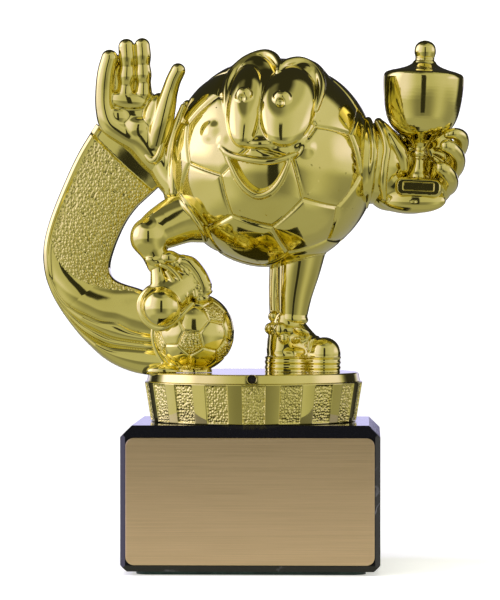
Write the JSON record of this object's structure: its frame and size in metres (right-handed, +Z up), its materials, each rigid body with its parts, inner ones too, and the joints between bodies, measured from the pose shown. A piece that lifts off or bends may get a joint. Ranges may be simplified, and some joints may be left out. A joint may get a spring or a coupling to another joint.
{
  "type": "figure trophy",
  "caption": "Award trophy: a metallised football mascot figure that holds up a cup, on a fluted riser bolted to a bevelled stone block with a blank engraving plate.",
  "frame": {"origin": "centre of the felt face that the trophy rests on, on the axis of the fixing screw", "axes": "+Z up through the fixing screw and riser, front with the engraving plate towards -Y, held cup towards +X"},
  "size_m": [0.12, 0.0651, 0.149],
  "materials": {
    "gold_plating": "gold vacuum-metallised plastic, mirror gloss",
    "marble": "black marble, polished",
    "plate_metal": "gold-tinted, brushed along its length, lacquered",
    "tape": "double-sided foam tape",
    "felt": "self-adhesive felt",
    "zinc_steel": "zinc-plated"
  },
  "bodies": {
    "root": {"felt_pad": "felt", "marble_block": "marble", "plate_tape": "tape", "engraving_plate": "plate_metal", "fixing_screw": "zinc_steel", "washer": "zinc_steel", "captive_nut": "zinc_steel", "riser_drum": "gold_plating", "riser_deck": "gold_plating", "football": "gold_plating", "tail_sweep": "gold_plating", "standing_boot": "gold_plating", "standing_leg": "gold_plating", "bent_boot": "gold_plating", "bent_leg": "gold_plating", "ball_back_shell": "gold_plating", "ball_front_shell": "gold_plating", "waving_arm": "gold_plating", "waving_glove": "gold_plating", "cup_arm": "gold_plating", "cup_glove": "gold_plating", "held_cup": "gold_plating"}
  },
  "joints": []
}
